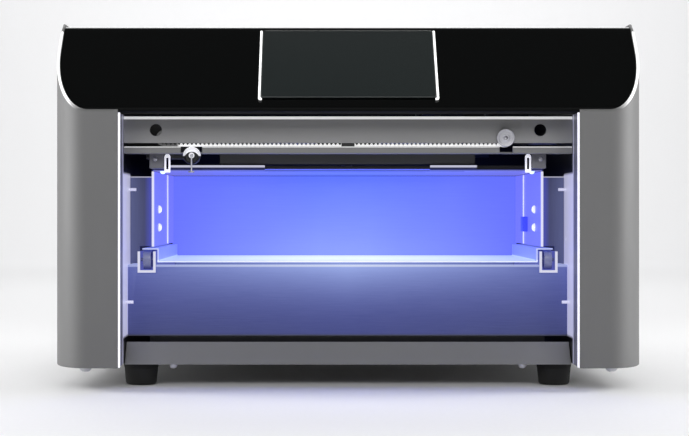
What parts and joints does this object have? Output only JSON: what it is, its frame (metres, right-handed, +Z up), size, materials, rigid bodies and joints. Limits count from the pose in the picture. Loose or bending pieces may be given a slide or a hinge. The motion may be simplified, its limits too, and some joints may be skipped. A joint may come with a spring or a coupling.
{
  "type": "resin wash station",
  "caption": "Bench-top resin wash station: grey side casings, black console with touchscreen, belt-driven spray carriage, lit chamber, roller tray and steel tank.",
  "frame": {"origin": "middle of the footprint, on the surface it stands on", "axes": "+X to the viewer's right, -Y towards the user, +Z up"},
  "size_m": [0.4, 0.32, 0.252],
  "materials": {
    "case_grey": "mid-grey satin paint, fine texture",
    "beam_grey": "grey satin powder coat",
    "hood_black": "gloss black",
    "screen_glass": "dark charcoal cover glass, opaque",
    "light_strip": "white light bar, emissive",
    "wall_white": "pale satin paint",
    "brushed_steel": "brushed stainless",
    "mirror_steel": "bright polished stainless",
    "lamp_grey": "dark grey, matte",
    "black_plastic": "black, matte",
    "rubber": "black moulded rubber",
    "belt_white": "white polyurethane belt, matte",
    "tray_white": "white moulded plastic, satin",
    "roller_grey": "grey acetal",
    "aluminium": "turned aluminium",
    "board_green": "circuit board",
    "led_board": "white circuit board with violet lamps, emissive",
    "diffuser": "frosted violet-lit diffuser, emissive"
  },
  "bodies": {
    "chassis": {"base_pan": "case_grey", "console_hood": "hood_black", "rear_cover": "case_grey", "left_side_panel": "case_grey", "right_side_panel": "case_grey", "left_inner_wall": "wall_white", "right_inner_wall": "wall_white", "screen_light_left": "light_strip", "screen_light_right": "light_strip", "touchscreen": "screen_glass", "chamber_side_left": "mirror_steel", "chamber_side_right": "mirror_steel", "chamber_back": "mirror_steel", "filler_plate_left": "brushed_steel", "filler_plate_right": "brushed_steel", "roof_hanger_left": "lamp_grey", "roof_hanger_right": "lamp_grey", "slotted_strip_left": "wall_white", "slotted_strip_right": "wall_white", "tray_rail_left": "brushed_steel", "tray_rail_right": "brushed_steel", "foot_front_left": "rubber", "foot_front_right": "rubber", "foot_rear_left": "rubber", "foot_rear_right": "rubber", "top_beam": "beam_grey", "belt_guide": "beam_grey", "drive_belt": "belt_white", "tension_stem": "aluminium", "belt_motor": "black_plastic", "motor_bracket": "black_plastic", "guide_rod_front": "aluminium", "guide_rod_rear": "aluminium", "ceiling_panel": "brushed_steel", "lamp_housing": "lamp_grey", "led_board": "led_board", "lamp_diffuser": "diffuser", "chamber_sensor": "lamp_grey", "wash_tank": "brushed_steel", "stirrer_motor": "black_plastic", "spray_pump": "black_plastic", "fan_frame": "lamp_grey", "power_inlet": "black_plastic", "control_board": "board_green", "power_supply": "aluminium"},
    "tray": {"tray": "tray_white"},
    "roller_front_left": {"tray_roller_front_left": "roller_grey"},
    "roller_front_right": {"tray_roller_front_right": "roller_grey"},
    "roller_rear_left": {"tray_roller_rear_left": "roller_grey"},
    "roller_rear_right": {"tray_roller_rear_right": "roller_grey"},
    "carriage": {"spray_carriage": "black_plastic", "belt_clamp": "black_plastic", "spray_nozzle": "brushed_steel"},
    "drive_pulley": {"drive_pulley": "aluminium"},
    "idler_pulley": {"idler_pulley": "aluminium"},
    "tension_roller": {"tension_roller": "aluminium"},
    "impeller": {"stirrer_impeller": "tray_white"},
    "fan_rotor": {"fan_rotor": "black_plastic"},
    "power_switch": {"power_switch": "black_plastic"}
  },
  "joints": [
    {"name": "tray_slide", "type": "slide", "parent": "chassis", "child": "tray", "axis": [0, -1, 0], "range_m": [0, 0.1]},
    {"name": "carriage_slide", "type": "slide", "parent": "chassis", "child": "carriage", "axis": [1, 0, 0], "range_m": [-0.0495, 0.0495]},
    {"name": "roller_front_left_spin", "type": "hinge", "parent": "chassis", "child": "roller_front_left", "pos_m": [-0.1405, -0.091, 0.0864], "axis": [1, 0, 0], "range_deg": [0, 850]},
    {"name": "roller_front_right_spin", "type": "hinge", "parent": "chassis", "child": "roller_front_right", "pos_m": [0.1405, -0.091, 0.0864], "axis": [1, 0, 0], "range_deg": [0, 850]},
    {"name": "roller_rear_left_spin", "type": "hinge", "parent": "chassis", "child": "roller_rear_left", "pos_m": [-0.1405, -0.038, 0.0864], "axis": [1, 0, 0], "range_deg": [0, 850]},
    {"name": "roller_rear_right_spin", "type": "hinge", "parent": "chassis", "child": "roller_rear_right", "pos_m": [0.1405, -0.038, 0.0864], "axis": [1, 0, 0], "range_deg": [0, 850]},
    {"name": "drive_pulley_spin", "type": "hinge", "parent": "chassis", "child": "drive_pulley", "pos_m": [-0.1265, -0.1165, 0.1706], "axis": [0, 1, 0], "range_deg": [-600, 600]},
    {"name": "idler_pulley_spin", "type": "hinge", "parent": "chassis", "child": "idler_pulley", "pos_m": [0.108, -0.1165, 0.1706], "axis": [0, 1, 0], "range_deg": [-600, 600]},
    {"name": "tension_roller_spin", "type": "hinge", "parent": "chassis", "child": "tension_roller", "pos_m": [-0.1076, -0.117, 0.1587], "axis": [0, 1, 0], "range_deg": [-600, 600]},
    {"name": "impeller_spin", "type": "hinge", "parent": "chassis", "child": "impeller", "pos_m": [0, -0.01, 0.0346], "axis": [0, 0, 1], "continuous": true},
    {"name": "fan_spin", "type": "hinge", "parent": "chassis", "child": "fan_rotor", "pos_m": [0.09, 0.148, 0.195], "axis": [0, 1, 0], "continuous": true},
    {"name": "switch_rock", "type": "hinge", "parent": "chassis", "child": "power_switch", "pos_m": [-0.075, 0.152, 0.0525], "axis": [1, 0, 0], "range_deg": [-10, 0]}
  ],
  "couplings": [
    {"joint": "roller_front_left_spin", "follows": "tray_slide", "rad_per_m": 147.06},
    {"joint": "roller_front_right_spin", "follows": "tray_slide", "rad_per_m": 147.06},
    {"joint": "roller_rear_left_spin", "follows": "tray_slide", "rad_per_m": 147.06},
    {"joint": "roller_rear_right_spin", "follows": "tray_slide", "rad_per_m": 147.06},
    {"joint": "drive_pulley_spin", "follows": "carriage_slide", "rad_per_m": -196.08},
    {"joint": "idler_pulley_spin", "follows": "carriage_slide", "rad_per_m": -196.08},
    {"joint": "tension_roller_spin", "follows": "carriage_slide", "rad_per_m": 166.67}
  ]
}
